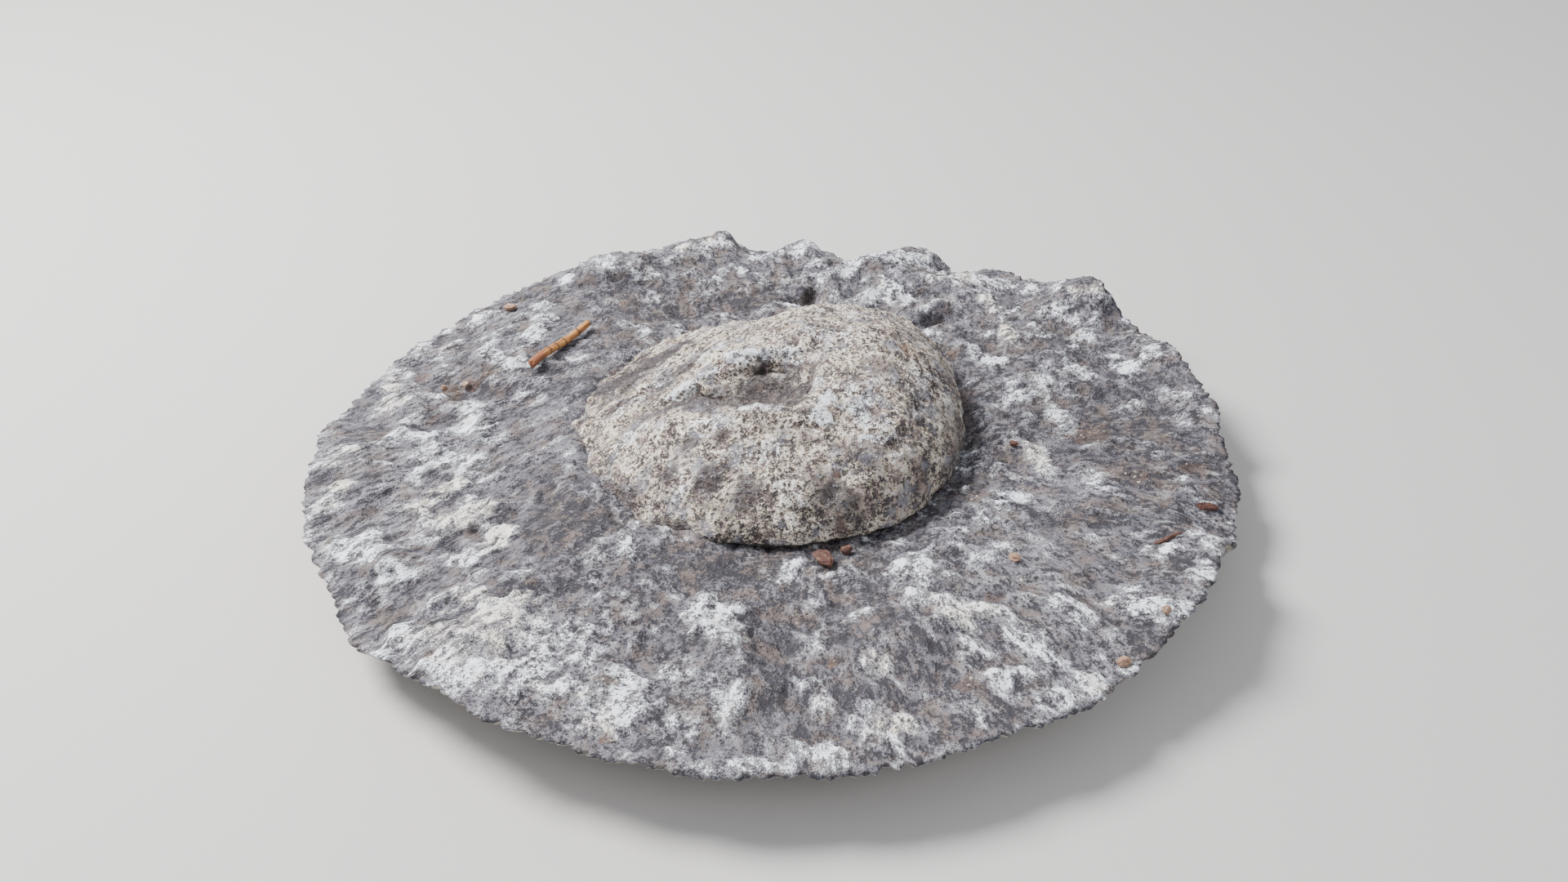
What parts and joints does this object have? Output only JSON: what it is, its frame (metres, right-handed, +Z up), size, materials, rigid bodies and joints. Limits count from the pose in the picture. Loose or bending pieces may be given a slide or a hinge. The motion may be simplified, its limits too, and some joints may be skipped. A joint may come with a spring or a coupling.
{
  "type": "fossil shell in a limestone flake",
  "caption": "Domed fossil bivalve shell seated in a round, weathered limestone flake that rests on its flat underside, with a dry twig and a few loose bits of litter lying on the rock.",
  "frame": {"origin": "on the flat resting face, below the middle of the rock's outline", "axes": "+Z up out of the rock through the shell; +X to the shell's steep right flank; +Y to the side where the shell runs out into the rock and the rim is broken"},
  "size_m": [0.3026, 0.3008, 0.0533],
  "materials": {
    "limestone": "matte",
    "shell": "matte",
    "twig": "matte",
    "bark": "matte",
    "husk": "matte"
  },
  "bodies": {
    "root": {"matrix": "limestone", "shell": "shell", "twig": "twig", "bark_chip": "bark", "bark_crumb": "bark", "seed_husk": "husk", "leaf_scrap": "bark", "dry_needle": "bark", "husk_grain_left": "husk", "husk_grain_far": "husk", "resin_crumb": "husk", "stone_crumb": "husk", "rim_crumb": "husk", "lip_crumb": "husk"}
  },
  "joints": []
}
